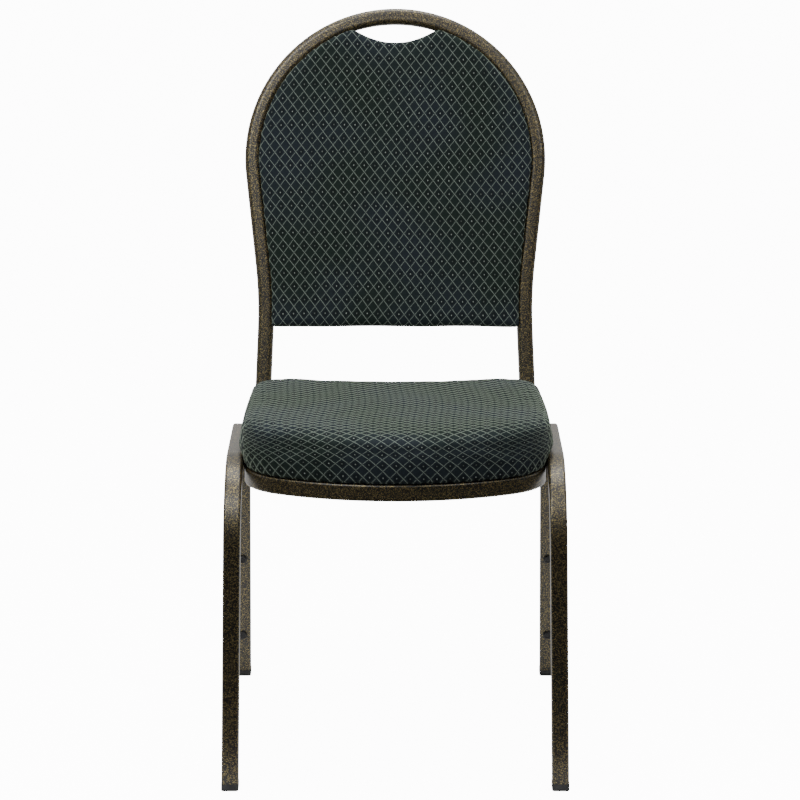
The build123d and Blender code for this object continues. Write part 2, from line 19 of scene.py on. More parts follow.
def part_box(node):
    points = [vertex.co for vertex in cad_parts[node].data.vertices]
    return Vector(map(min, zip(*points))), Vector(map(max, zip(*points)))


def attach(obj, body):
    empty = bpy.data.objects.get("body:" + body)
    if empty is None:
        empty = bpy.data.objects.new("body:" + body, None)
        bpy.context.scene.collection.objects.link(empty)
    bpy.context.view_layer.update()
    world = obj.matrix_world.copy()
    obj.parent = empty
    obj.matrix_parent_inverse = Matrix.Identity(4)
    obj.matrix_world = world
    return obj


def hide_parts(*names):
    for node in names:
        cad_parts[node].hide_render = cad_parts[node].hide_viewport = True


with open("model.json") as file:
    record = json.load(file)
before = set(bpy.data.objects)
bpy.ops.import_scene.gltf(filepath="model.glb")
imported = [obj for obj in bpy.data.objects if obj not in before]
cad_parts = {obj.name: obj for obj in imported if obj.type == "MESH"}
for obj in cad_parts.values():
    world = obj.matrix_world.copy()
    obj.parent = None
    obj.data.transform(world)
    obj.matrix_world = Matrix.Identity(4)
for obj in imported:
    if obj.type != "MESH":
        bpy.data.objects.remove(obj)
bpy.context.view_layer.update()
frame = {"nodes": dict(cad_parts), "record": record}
scene = bpy.context.scene

# %% [markdown]
# ## Where the seat and the back are
#
# The seat slopes gently to the rear and the back leans, so both pads are easiest to shape lying flat and
# then tipped into place. A plane for each is worked out from the CAD boxes and the two angles. The seat's
# plane lies on top of the seat frame, and the back's plane is the front face of the hoop.

# %% The two working planes
SEAT_SLOPE = math.radians(2.3)
BACK_LEAN = math.radians(11.5)

front_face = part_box("right_leg_arch")[0].y
frame_low, frame_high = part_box("seat_frame")
hoop_low, hoop_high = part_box("back_hoop")
seat_height = frame_high.z + (frame_low.y - front_face) * math.tan(SEAT_SLOPE)
seat_plane = Matrix.Translation((0, front_face, seat_height)) @ Matrix.Rotation(-SEAT_SLOPE, 4, "X")

TUBE = 0.0222
HOOP_CORNER = 0.0075
HOOP_TOP = 0.5501  # from the plane's origin to the middle of the tube at the top of the dome
lean_sin, lean_cos = math.sin(BACK_LEAN), math.cos(BACK_LEAN)
tube_reach = (TUBE / 2 - HOOP_CORNER) * (lean_sin + lean_cos) + HOOP_CORNER
hoop_base_y = hoop_high.y - tube_reach - HOOP_TOP * lean_sin - TUBE / 2 * lean_cos
hoop_base_z = hoop_high.z - tube_reach - HOOP_TOP * lean_cos + TUBE / 2 * lean_sin
hoop_base = Vector((0, hoop_base_y, hoop_base_z))
back_plane = Matrix.Translation(hoop_base) @ Matrix.Rotation(math.pi / 2 - BACK_LEAN, 4, "X")
print("seat plane at", round(seat_height, 4), "and hoop base at", [round(place, 4) for place in hoop_base])

# %% [markdown]
# ## Small helpers
#
# An operator works on whatever is selected, so each step starts by clearing the selection. A finished piece
# has its place in its mesh, like the CAD parts, so that the patterns on it and on the CAD parts agree about
# where it is.


# %% Selection and finishing
def select_only(piece):
    """Makes one piece the only selected and active one."""
    if bpy.context.object and bpy.context.object.mode != "OBJECT":
        bpy.ops.object.mode_set(mode="OBJECT")
    bpy.ops.object.select_all(action="DESELECT")
    piece.select_set(True)
    bpy.context.view_layer.objects.active = piece


def apply_modifiers(piece):
    """Applies every modifier on the piece, in order."""
    select_only(piece)
    for modifier in list(piece.modifiers):
        bpy.ops.object.modifier_apply(modifier=modifier.name)


def settle(piece, material):
    """Gives the piece its finish and fixes it to the chair."""
    piece.data.materials.clear()
    piece.data.materials.append(material)
    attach(piece, "root")


print("helpers are ready")

# %% [markdown]
# ## Building finishes from nodes
#
# A finish is a small network of nodes. Writing one out link by link is long, so a few helpers keep it
# readable. The first adds a node and wires its inputs by name, and the next three do one step of
# arithmetic, a soft step and a mix of two colours. The others start a node group, place one in a material,
# and start a material.


# %% Node helpers
def node(tree, kind, settings=None, **inputs):
    """Adds a node, sets its properties, and links or fills its inputs. An underscore stands for a space."""
    made = tree.nodes.new(kind)
    for name, value in (settings or {}).items():
        setattr(made, name, value)
    for name, value in inputs.items():
        socket = made.inputs[name.replace("_", " ")]
        if isinstance(value, bpy.types.NodeSocket):
            tree.links.new(value, socket)
        else:
            socket.default_value = value
    return made


def calc(tree, operation, *values):
    """One arithmetic step: returns the result's socket."""
    made = tree.nodes.new("ShaderNodeMath")
    made.operation = operation
    for socket, value in zip(made.inputs, values):
        if isinstance(value, bpy.types.NodeSocket):
            tree.links.new(value, socket)
        else:
            socket.default_value = value
    return made.outputs[0]


def fade(tree, value, start, end, at_start=0.0, at_end=1.0):
    """Turns a value into a soft step between start and end."""
    ends = {"From_Min": start, "From_Max": end, "To_Min": at_start, "To_Max": at_end}
    made = node(tree, "ShaderNodeMapRange", {"interpolation_type": "SMOOTHSTEP"}, Value=value, **ends)
    return made.outputs["Result"]


def blend_colours(tree, amount, first, second):
    """Mixes two colours, each a socket or a colour, by an amount."""
    made = tree.nodes.new("ShaderNodeMix")
    made.data_type = "RGBA"
    tree.links.new(amount, made.inputs["Factor"])
    for socket, value in ((made.inputs[6], first), (made.inputs[7], second)):
        if isinstance(value, bpy.types.NodeSocket):
            tree.links.new(value, socket)
        else:
            socket.default_value = (*value, 1)
    return made.outputs[2]


def new_group(name, inputs, outputs):
    """Starts a node group. inputs is a dict of name to (socket kind, default) and outputs of name to kind."""
    group = bpy.data.node_groups.new(name, "ShaderNodeTree")
    for title, (kind, default) in inputs.items():
        socket = group.interface.new_socket(title, in_out="INPUT", socket_type=kind)
        if default is not None:
            socket.default_value = default
    for title, kind in outputs.items():
        group.interface.new_socket(title, in_out="OUTPUT", socket_type=kind)
    start = group.nodes.new("NodeGroupInput")
    end = group.nodes.new("NodeGroupOutput")
    return group, start, end


def use_group(tree, group, **inputs):
    """Places a node group in a material and wires its inputs."""
    return node(tree, "ShaderNodeGroup", {"node_tree": group}, **inputs)


def new_material(name):
    """Starts a material. Returns it with its node tree and its Principled shader."""
    material = bpy.data.materials.new(name)
    material.use_nodes = True
    tree = material.node_tree
    return material, tree, tree.nodes["Principled BSDF"]


print("node helpers are ready")

# %% [markdown]
# ## The frame's paint
#
# The tube is powder coated in a "gold vein" finish: a nearly black brown ground with a fine crackle of
# bronze showing through, and a slightly hammered surface. The vein could be painted as an image, but then
# it would need unwrapping on every tube. Noise in object coordinates has the same size everywhere, so it is
# made that way. One group makes the vein, and it gives a mask for the bronze and a height for the
# hammering.


# %% The vein pattern
VEIN_SIZE = 0.0014
HAMMER_SHARE = 0.45  # the hammering's scale beside the vein's, so its bumps are about twice as large
PATCH_SCALE = 14.0


def make_vein_group():
    group, start, end = new_group(
        "gold_vein",
        {"Vector": ("NodeSocketVector", None), "Size": ("NodeSocketFloat", VEIN_SIZE)},
        {"Vein": "NodeSocketFloat", "Patches": "NodeSocketFloat", "Height": "NodeSocketFloat"},
    )
    vector = start.outputs["Vector"]
    scale = calc(group, "DIVIDE", 1.0, start.outputs["Size"])
    crackle = node(group, "ShaderNodeTexNoise", Vector=vector, Scale=scale, Detail=3.0, Roughness=0.6)
    hammer_scale = calc(group, "MULTIPLY", scale, HAMMER_SHARE)
    hammer = node(group, "ShaderNodeTexNoise", Vector=vector, Scale=hammer_scale, Detail=1.0)
    patches = node(group, "ShaderNodeTexNoise", Vector=vector, Scale=PATCH_SCALE, Detail=2.0)
    vein = fade(group, crackle.outputs["Fac"], 0.50, 0.64)
    group.links.new(vein, end.inputs["Vein"])
    group.links.new(fade(group, patches.outputs["Fac"], 0.35, 0.65), end.inputs["Patches"])
    height = calc(group, "ADD", calc(group, "MULTIPLY", vein, 0.4), hammer.outputs["Fac"])
    group.links.new(height, end.inputs["Height"])
    return group


gold_vein = make_vein_group()
print("the vein group has", len(gold_vein.nodes), "nodes")

# %% [markdown]
# The paint mixes three colours: the dark ground, a warm bronze in the vein, and a slightly redder ground in
# large soft patches, as a thin coat has. The bronze is metallic and a little smoother, and the ground is
# neither. A clear coat over both gives the pale reflections that flat tubes show when they are seen at a
# low angle.


# %% The paint
GROUND_BROWN = (0.005, 0.0045, 0.003)
GROUND_RED = (0.008, 0.005, 0.003)
BRONZE = (0.35, 0.28, 0.12)
BRONZE_METALLIC = 0.85
GROUND_ROUGHNESS, BRONZE_ROUGHNESS = 0.42, 0.34
COAT_WEIGHT, COAT_ROUGHNESS = 0.38, 0.28
HAMMER_DEPTH = 0.00025


def make_paint():
    material, tree, shader = new_material("gold_vein_paint")
    place = node(tree, "ShaderNodeTexCoord").outputs["Object"]
    vein = use_group(tree, gold_vein, Vector=place, Size=VEIN_SIZE)
    ground = blend_colours(tree, vein.outputs["Patches"], GROUND_BROWN, GROUND_RED)
    colour = blend_colours(tree, vein.outputs["Vein"], ground, BRONZE)
    tree.links.new(colour, shader.inputs["Base Color"])
    tree.links.new(calc(tree, "MULTIPLY", vein.outputs["Vein"], BRONZE_METALLIC), shader.inputs["Metallic"])
    roughness = fade(tree, vein.outputs["Vein"], 0, 1, GROUND_ROUGHNESS, BRONZE_ROUGHNESS)
    tree.links.new(roughness, shader.inputs["Roughness"])
    shader.inputs["Coat Weight"].default_value = COAT_WEIGHT
    shader.inputs["Coat Roughness"].default_value = COAT_ROUGHNESS
    bump = node(
        tree, "ShaderNodeBump", Height=vein.outputs["Height"], Strength=0.55, Distance=HAMMER_DEPTH
    )
    tree.links.new(bump.outputs["Normal"], shader.inputs["Normal"])
    return material


paint = make_paint()
print("made", paint.name)

# %% [markdown]
# ## The upholstery cloth
#
# The cloth is a dark green contract fabric with a lattice of paler threads. The lines that fall to the
# right lie on top, and the lines that rise to the right stop short on both sides of every crossing. Every
# second diamond has a small light dot, with a few black flecks round it. All of this follows from two
# numbers that count cells along the two diagonals, so the whole pattern is arithmetic on the cloth's own
# coordinates, in metres. The coordinates come from a UV map that each pad gets when it is covered, so the
# lattice bends over the edges as cloth does.


# %% The lattice pattern
BACK_CELL = (0.0147, 0.0187)
SEAT_CELL = (0.0171, 0.0147)
THREAD_SCALE = 1400.0
SHADE_SCALE = 7.0

# These are shares of a cell.
LINE_HALF = 0.033
UNDER_GAP = (0.07, 0.13)
HAZE_REACH = (0.03, 0.20)
DOT_SIZE = (0.055, 0.06)
FLECKED_SIZE = (0.27, 0.27)


def make_lattice_group():
    group, start, end = new_group(
        "diamond_lattice",
        {
            "Vector": ("NodeSocketVector", None),
            "Across": ("NodeSocketFloat", BACK_CELL[0]),
            "Along": ("NodeSocketFloat", BACK_CELL[1]),
        },
        {
            "Line": "NodeSocketFloat",
            "Haze": "NodeSocketFloat",
            "Dot": "NodeSocketFloat",
            "Fleck": "NodeSocketFloat",
            "Thread": "NodeSocketFloat",
            "Shade": "NodeSocketFloat",
            "Height": "NodeSocketFloat",
        },
    )
    vector = start.outputs["Vector"]
    parts = node(group, "ShaderNodeSeparateXYZ", Vector=vector)
    across = calc(group, "DIVIDE", parts.outputs["X"], start.outputs["Across"])
    along = calc(group, "DIVIDE", parts.outputs["Y"], start.outputs["Along"])
    falling = calc(group, "ADD", across, along)
    rising = calc(group, "SUBTRACT", across, along)

    def off_line(diagonal):
        """The distance from the nearest thread line, from 0 on it to a half in the middle of a cell."""
        return calc(group, "ABSOLUTE", calc(group, "SUBTRACT", calc(group, "FRACT", diagonal), 0.5))

    falling_off = off_line(falling)
    rising_off = off_line(rising)
    on_top = fade(group, falling_off, LINE_HALF * 0.5, LINE_HALF * 1.5, 1.0, 0.0)
    under = fade(group, rising_off, LINE_HALF * 0.5, LINE_HALF * 1.5, 1.0, 0.0)
    broken = calc(group, "MULTIPLY", under, fade(group, falling_off, *UNDER_GAP))
    lines = calc(group, "MAXIMUM", on_top, calc(group, "MULTIPLY", broken, 0.85))

    falling_cell = calc(group, "ROUND", falling)
    rising_cell = calc(group, "ROUND", rising)
    cell = calc(group, "ADD", falling_cell, rising_cell)
    dotted = calc(group, "SUBTRACT", 1.0, calc(group, "FLOORED_MODULO", cell, 2.0))
    centre_across = calc(group, "MULTIPLY", cell, 0.5)
    centre_along = calc(group, "MULTIPLY", calc(group, "SUBTRACT", falling_cell, rising_cell), 0.5)
    from_across = calc(group, "SUBTRACT", across, centre_across)
    from_along = calc(group, "SUBTRACT", along, centre_along)

    def spot(width, height):
        """How far a point is from its cell's middle, where 1 is the rim of an oval."""
        return calc(
            group,
            "SQRT",
            calc(
                group,
                "ADD",
                calc(group, "POWER", calc(group, "DIVIDE", from_across, width), 2.0),
                calc(group, "POWER", calc(group, "DIVIDE", from_along, height), 2.0),
            ),
        )

    cell_place = node(group, "ShaderNodeCombineXYZ", X=falling_cell, Y=rising_cell).outputs["Vector"]
    luck = node(group, "ShaderNodeTexWhiteNoise", {"noise_dimensions": "2D"}, Vector=cell_place)
    dotted_here = calc(group, "MULTIPLY", dotted, fade(group, luck.outputs["Value"], 0.0, 1.0, 0.3, 1.0))
    dot = calc(group, "MULTIPLY", fade(group, spot(*DOT_SIZE), 0.5, 1.3, 1.0, 0.0), dotted_here)
    thread = node(
        group, "ShaderNodeTexNoise", Vector=vector, Scale=THREAD_SCALE, Detail=2.0, Roughness=0.7
    )
    near_dot = calc(group, "MULTIPLY", fade(group, spot(*FLECKED_SIZE), 0.7, 1.1, 1.0, 0.0), dotted)
    speckle = fade(group, thread.outputs["Fac"], 0.48, 0.56)
    shade = node(group, "ShaderNodeTexNoise", Vector=vector, Scale=SHADE_SCALE, Detail=1.0)
    nearest_line = calc(group, "MINIMUM", falling_off, rising_off)
    haze = fade(group, nearest_line, *HAZE_REACH, 1.0, 0.0)
    group.links.new(lines, end.inputs["Line"])
    group.links.new(haze, end.inputs["Haze"])
    group.links.new(dot, end.inputs["Dot"])
    group.links.new(calc(group, "MULTIPLY", near_dot, speckle), end.inputs["Fleck"])
    group.links.new(thread.outputs["Fac"], end.inputs["Thread"])
    group.links.new(fade(group, shade.outputs["Fac"], 0.35, 0.65), end.inputs["Shade"])
    raised = calc(group, "MAXIMUM", lines, dot)
    height = calc(group, "ADD", raised, calc(group, "MULTIPLY", thread.outputs["Fac"], 0.6))
    group.links.new(height, end.inputs["Height"])
    return group


diamond_lattice = make_lattice_group()
print("the lattice group has", len(diamond_lattice.nodes), "nodes")

# %% [markdown]
# The seat is cut with the cloth turned a quarter round from the back, so its diamonds lie wide instead of
# tall. One function makes the material with the two cell sizes given, and it is called once for each way
# round. The cloth has a sheen, the faint haze of fibre ends that makes a dark cloth look grey at a low
# angle. The raised threads have most of it, in a soft band along each line, and the sunken middles of the
# diamonds have nearly none.


# %% The cloth
CLOTH_GREEN = (0.015, 0.026, 0.020)
CLOTH_BLUE = (0.021, 0.029, 0.037)
THREAD_PALE = (0.26, 0.31, 0.27)
DOT_PALE = (0.40, 0.45, 0.41)
# Black for the flecks round the dots, and for the painted shade in the weave's hollows.
FLECK_AND_SHADE_BLACK = (0.004, 0.006, 0.006)
THREAD_DEPTH = 0.0005
LEAST_SHEEN, MOST_SHEEN = 0.03, 0.70
SHEEN_GREEN = (0.62, 0.74, 0.55)


def make_cloth(name, across, along):
    material, tree, shader = new_material(name)
    place = node(tree, "ShaderNodeUVMap", {"uv_map": "cloth"}).outputs["UV"]
    lattice = use_group(tree, diamond_lattice, Vector=place, Across=across, Along=along)
    ground = blend_colours(tree, lattice.outputs["Shade"], CLOTH_GREEN, CLOTH_BLUE)
    # Painted shade: the ground is darkened towards black where the thread noise is low, at the low points of
    # the bump, as if shade fell in the weave's hollows.
    hollow_shade = fade(tree, lattice.outputs["Thread"], 0.4, 0.62, 0.55, 0.0)
    ground = blend_colours(tree, hollow_shade, ground, FLECK_AND_SHADE_BLACK)
    colour = blend_colours(tree, lattice.outputs["Fleck"], ground, FLECK_AND_SHADE_BLACK)
    fibre = fade(tree, lattice.outputs["Thread"], 0.3, 0.7, 0.55, 1.0)
    colour = blend_colours(tree, calc(tree, "MULTIPLY", lattice.outputs["Line"], fibre), colour, THREAD_PALE)
    colour = blend_colours(tree, calc(tree, "MULTIPLY", lattice.outputs["Dot"], fibre), colour, DOT_PALE)
    tree.links.new(colour, shader.inputs["Base Color"])
    shader.inputs["Roughness"].default_value = 0.82
    shader.inputs["Specular IOR Level"].default_value = 0.12
    sheen = fade(tree, lattice.outputs["Haze"], 0, 1, LEAST_SHEEN, MOST_SHEEN)
    tree.links.new(sheen, shader.inputs["Sheen Weight"])
    shader.inputs["Sheen Roughness"].default_value = 0.4
    shader.inputs["Sheen Tint"].default_value = (*SHEEN_GREEN, 1)
    bump = node(
        tree, "ShaderNodeBump", Height=lattice.outputs["Height"], Strength=0.6, Distance=THREAD_DEPTH
    )
    tree.links.new(bump.outputs["Normal"], shader.inputs["Normal"])
    return material


back_cloth = make_cloth("back_cloth", *BACK_CELL)
seat_cloth = make_cloth("seat_cloth", *SEAT_CELL)
print("made", back_cloth.name, "and", seat_cloth.name)

# %% [markdown]
# ## The plain finishes
#
# The rest of the parts are moulded plastic, rubber, zinc plate, plywood, hardboard and the black lining
# under the seat. Each has one thing that gives it away: plastic has a fine grain, zinc has soft mottling,
# plywood shows its layers on the edge, and the lining is a felt of short fibres.


# %% Plastic, rubber and zinc
def make_grained(name, colour, worn, roughness, grain, depth, metallic=0.0):
    """A finish with a fine grain. worn is a second colour that shows in soft patches."""
    material, tree, shader = new_material(name)
    place = node(tree, "ShaderNodeTexCoord").outputs["Object"]
    fine = node(tree, "ShaderNodeTexNoise", Vector=place, Scale=1 / grain, Detail=3.0)
    patches = node(tree, "ShaderNodeTexNoise", Vector=place, Scale=0.12 / grain, Detail=2.0)
    amount = fade(tree, patches.outputs["Fac"], 0.42, 0.68)
    tree.links.new(blend_colours(tree, amount, colour, worn), shader.inputs["Base Color"])
    uneven = fade(tree, fine.outputs["Fac"], 0.3, 0.7, roughness - 0.07, roughness + 0.07)
    tree.links.new(uneven, shader.inputs["Roughness"])
    shader.inputs["Metallic"].default_value = metallic
    bump = node(tree, "ShaderNodeBump", Height=fine.outputs["Fac"], Strength=0.4, Distance=depth)
    tree.links.new(bump.outputs["Normal"], shader.inputs["Normal"])
    return material


plastic = make_grained("moulded_plastic", (0.012, 0.012, 0.013), (0.03, 0.03, 0.03), 0.5, 0.0009, 0.0002)
rubber = make_grained("bumper_rubber", (0.010, 0.010, 0.010), (0.022, 0.021, 0.02), 0.6, 0.0006, 0.0001)
zinc = make_grained("zinc_plate", (0.62, 0.61, 0.58), (0.45, 0.43, 0.38), 0.34, 0.0012, 0.0001, metallic=1.0)
print("made", plastic.name, rubber.name, zinc.name)


# %% Plywood, hardboard and lining
PLY_LAYER = 0.0018
GRAIN_SCALE = (220.0, 9.0, 220.0)  # stretched along Y
VENEER_DARK, VENEER_PALE = (0.36, 0.24, 0.13), (0.62, 0.46, 0.28)
GLUE_BROWN = (0.12, 0.07, 0.035)


def make_plywood():
    """Pale veneer with long grain on its faces and dark glue lines on its edges."""
    material, tree, shader = new_material("plywood")
    place = node(tree, "ShaderNodeTexCoord").outputs["Object"]
    stretched = node(tree, "ShaderNodeMapping", Vector=place, Scale=GRAIN_SCALE)
    grain = node(tree, "ShaderNodeTexNoise", Vector=stretched.outputs["Vector"], Scale=1.0, Detail=4.0)
    parts = node(tree, "ShaderNodeSeparateXYZ", Vector=place)
    layer = calc(tree, "FRACT", calc(tree, "DIVIDE", parts.outputs["Z"], PLY_LAYER))
    glue = fade(tree, layer, 0.0, 0.2, 1.0, 0.0)
    wood = blend_colours(tree, grain.outputs["Fac"], VENEER_DARK, VENEER_PALE)
    colour = blend_colours(tree, calc(tree, "MULTIPLY", glue, 0.6), wood, GLUE_BROWN)
    tree.links.new(colour, shader.inputs["Base Color"])
    shader.inputs["Roughness"].default_value = 0.75
    bump = node(tree, "ShaderNodeBump", Height=grain.outputs["Fac"], Strength=0.5, Distance=0.0004)
    tree.links.new(bump.outputs["Normal"], shader.inputs["Normal"])
    return material


plywood = make_plywood()
hardboard = make_grained("hardboard", (0.13, 0.075, 0.04), (0.18, 0.11, 0.06), 0.7, 0.0010, 0.0002)
lining = make_grained("cambric_lining", (0.012, 0.012, 0.012), (0.022, 0.022, 0.022), 0.9, 0.0007, 0.0004)
print("made", plywood.name, hardboard.name, lining.name)

# %% [markdown]
# ## Finishing the CAD parts
#
# Each CAD part keeps its shape and takes the finish of its material slot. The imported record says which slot
# each part belongs to, so one short table from slot to finish covers them all. The foam and the covers are
# in the table too, but the pads made further on take their place.

# %% Paint, plastic and metal on the CAD parts
FINISHES = {
    "frame_paint": paint,
    "black_plastic": plastic,
    "bumper_rubber": rubber,
    "zinc_steel": zinc,
    "plywood": plywood,
    "hardboard": hardboard,
    "foam": lining,
    "patterned_fabric": back_cloth,
    "lining": lining,
}
for part in frame["record"]["subparts"]:
    cad_part = frame["nodes"][part["node"]]
    cad_part.data.materials.clear()
    cad_part.data.materials.append(FINISHES[part["material_slot"]])
print("finished", len(frame["nodes"]), "CAD parts")

# %% [markdown]
# ## Outlines for the pads
#
# Both pads follow the metal round them. The seat's outline is a bow at the front with a large round at each
# corner. The back's outline is the inside of the hoop: a dome, a taper, a gentle waist, and a shallow dip
# at the top where a hand goes in. An outline is a list of points round the pad, drawn for the right half
# and then mirrored. Lengths are in metres, on the seat's or the back's own flat plane.


# %% Arcs and mirrored outlines
def arc(centre, radius, start, end, steps):
    """Points along an arc, with angles in degrees."""
    angles = [math.radians(start + (end - start) * step / steps) for step in range(steps + 1)]
    return [Vector((centre[0] + radius * math.cos(a), centre[1] + radius * math.sin(a))) for a in angles]


def run(start, end, steps):
    """Points along a straight line."""
    start, end = Vector(start), Vector(end)
    return [start.lerp(end, step / steps) for step in range(steps + 1)]


def mirrored(right_half):
    """Closes an outline from its right half, which starts and ends on the middle line."""
    points = right_half[:1]
    for point in right_half[1:]:
        if (point - points[-1]).length > 1e-6:
            points.append(point)
    left_half = [Vector((-point.x, point.y)) for point in reversed(points[1:-1])]
    return points + left_half


print("an arc of a quarter turn ends at", arc((0, 0), 1, 0, 90, 4)[-1])

# %% The seat's outline
SEAT_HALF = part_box("seat_cover")[1].x
SEAT_FRONT = -0.025
SEAT_BOW = 0.306
SEAT_CORNER = 0.092
SEAT_REAR = 0.371
SEAT_REAR_CORNER = 0.048
LEAST_CORNER = 0.004
BOW_CENTRE = SEAT_FRONT + SEAT_BOW
CORNER_X = SEAT_HALF - SEAT_CORNER
CORNER_Y = BOW_CENTRE - math.sqrt((SEAT_BOW - SEAT_CORNER) ** 2 - CORNER_X**2)
BOW_TURN = math.atan2(CORNER_X, BOW_CENTRE - CORNER_Y)  # where the bow meets the corner, from the middle


def seat_outline(inset):
    """The seat pad's outline: a bow, a round corner, a straight side, and a smaller corner at the rear."""
    meet = math.degrees(BOW_TURN) - 90
    corner, side, rear = SEAT_CORNER - inset, SEAT_HALF - inset, SEAT_REAR - inset
    rear_corner = max(SEAT_REAR_CORNER - inset, LEAST_CORNER)
    return mirrored(
        arc((0, BOW_CENTRE), SEAT_BOW - inset, -90, meet, 24)
        + arc((CORNER_X, CORNER_Y), corner, meet, 0, 20)
        + run((side, CORNER_Y), (side, rear - rear_corner), 40)
        + arc((side - rear_corner, rear - rear_corner), rear_corner, 0, 90, 12)
        + run((side - rear_corner, rear), (0, rear), 26)
    )


print("the seat's outline has", len(seat_outline(0)), "points")

# %% The back's outline
DOME_CENTRE = 0.3512
DOME_RADIUS = hoop_high.x - TUBE
TAPER = 6.1  # degrees
TAPER_LENGTH = 0.1258
WAIST_RADIUS = 0.600 + TUBE / 2
BACK_BOTTOM = 0.1192
BACK_GAP = 0.0006
HAND_DIP = 0.5126
HAND_RADIUS = 0.095


def back_outline(inset, overlap=0.0):
    """The back pad's outline. overlap moves out only the edge along the hoop."""
    dome = DOME_RADIUS - BACK_GAP - inset + overlap
    waist = WAIST_RADIUS + BACK_GAP + inset - overlap
    taper = math.radians(TAPER)
    dip_centre = HAND_DIP + HAND_RADIUS
    dip = HAND_RADIUS + inset
    span = dip_centre - DOME_CENTRE
    horn_y = (dome**2 - dip**2 + span**2) / (2 * span)
    horn_x = math.sqrt(dome**2 - horn_y**2)
    horn_on_dome = math.degrees(math.atan2(horn_y, horn_x))
    horn_on_dip = math.degrees(math.atan2(horn_y - span, horn_x))
    taper_top = Vector((dome * math.cos(taper), DOME_CENTRE - dome * math.sin(taper)))
    waist_top = taper_top - TAPER_LENGTH * Vector((math.sin(taper), math.cos(taper)))
    waist_centre = waist_top + waist * Vector((math.cos(taper), -math.sin(taper)))
    bottom = BACK_BOTTOM + inset
    bottom_turn = math.degrees(math.asin((waist_centre.y - bottom) / waist))
    foot_x = waist_centre.x - waist * math.cos(math.radians(bottom_turn))
    return mirrored(
        arc((0, dip_centre), dip, -90, horn_on_dip, 12)
        + arc((0, DOME_CENTRE), dome, horn_on_dome, -TAPER, 48)
        + run(taper_top, waist_top, 20)
        + arc(waist_centre, waist, 180 - TAPER, 180 + bottom_turn, 16)
        + run((foot_x, bottom), (0, bottom), 28)
    )


print("the back's outline has", len(back_outline(0)), "points")

# %% [markdown]
# ## From outlines to padding
#
# A pad starts as a stack of outlines: narrow where the cloth is pulled under the board, full at the side,
# and drawn in again where it rounds over. Neighbouring outlines are joined with walls, and a voxel remesh
# then gives the shape an even net that cloth can bend in. The cloth simulation blows the pad up a little
# from inside, so that it swells and tightens like foam under cloth. The lowest rows, next to the board, are
# pinned. A cap keeps each point near where it started, so the pad can't grow into the frame. Last, a finer
# net makes the curves smooth.


# %% Stacking and filling
def stacked_pad(name, outlines):
    """A closed mesh from a stack of (outline, height) pairs, which all have the same number of points."""
    net = bmesh.new()
    rings = [[net.verts.new((*point, height)) for point in outline] for outline, height in outlines]
    for lower, upper in zip(rings, rings[1:]):
        for here in range(len(lower)):
            ahead = (here + 1) % len(lower)
            net.faces.new((lower[here], lower[ahead], upper[ahead], upper[here]))
    net.faces.new(reversed(rings[0]))
    net.faces.new(rings[-1])
    bmesh.ops.recalc_face_normals(net, faces=net.faces)
    mesh = bpy.data.meshes.new(name)
    net.to_mesh(mesh)
    net.free()
    pad = bpy.data.objects.new(name, mesh)
    scene.collection.objects.link(pad)
    return pad


def even_net(pad, size):
    """Replaces a pad's faces with an even net of squares."""
    remesh = pad.modifiers.new("even net", "REMESH")
    remesh.mode = "VOXEL"
    remesh.voxel_size = size
    remesh.use_smooth_shade = True
    apply_modifiers(pad)


SWELL_FRAMES = 20


def swell(pad, held, pressure, cap):
    """Blows a pad up with cloth pressure. held(point) is true where it is pinned. cap limits the movement."""
    start = [vertex.co.copy() for vertex in pad.data.vertices]
    pins = pad.vertex_groups.new(name="held")
    pins.add([index for index, point in enumerate(start) if held(point)], 1.0, "REPLACE")
    cloth = pad.modifiers.new("swell", "CLOTH")
    cloth.settings.vertex_group_mass = "held"
    cloth.settings.use_pressure = True
    cloth.settings.uniform_pressure_force = pressure
    cloth.settings.effector_weights.gravity = 0
    cloth.settings.tension_stiffness = 12
    cloth.settings.compression_stiffness = 12
    cloth.settings.shear_stiffness = 6
    cloth.settings.bending_stiffness = 2.0
    cloth.point_cache.frame_end = SWELL_FRAMES
    for frame_number in range(1, SWELL_FRAMES + 1):
        scene.frame_set(frame_number)
    swollen = pad.evaluated_get(bpy.context.evaluated_depsgraph_get()).to_mesh()
    moved = [vertex.co.copy() for vertex in swollen.vertices]
    pad.modifiers.remove(cloth)
    for vertex, old, new in zip(pad.data.vertices, start, moved):
        step = new - old
        vertex.co = old + step * min(1.0, cap / max(step.length, 1e-9))
    scene.frame_set(1)
    pad.vertex_groups.clear()
    furthest = max((new - old).length for new, old in zip(moved, start))
    print(pad.name, "swelled by up to", round(furthest * 1000, 1), "mm before the cap")


def refine(pad, plane):
    """Gives the pad a finer net and tips it into place."""
    smoother = pad.modifiers.new("finer net", "SUBSURF")
    smoother.levels = smoother.render_levels = 1
    apply_modifiers(pad)
    pad.data.transform(plane)


# %% [markdown]
# ## Laying the cloth
#
# Cloth that goes over an edge uses up more length than the pad seems to have from above. To lay the lattice
# right, each point is pushed outwards by that extra length. Over a round edge it is the arc less its
# spread, and down a wall it is the wall's height. The result goes in a UV map in metres, which the cloth's
# material reads.


# %% Laying the cloth on a pad
def edge_lengths(depth, rim):
    """The cloth's length from the start of the round to a depth, and how much of that is extra."""
    turn = math.acos(max(-1.0, min(1.0, 1.0 - min(depth, rim) / rim)))
    wall = max(depth - rim, 0.0)
    return rim * turn + wall, rim * (turn - math.sin(turn)) + wall


WANDER = 0.0028  # a cloth's rows and columns are never quite straight on the board


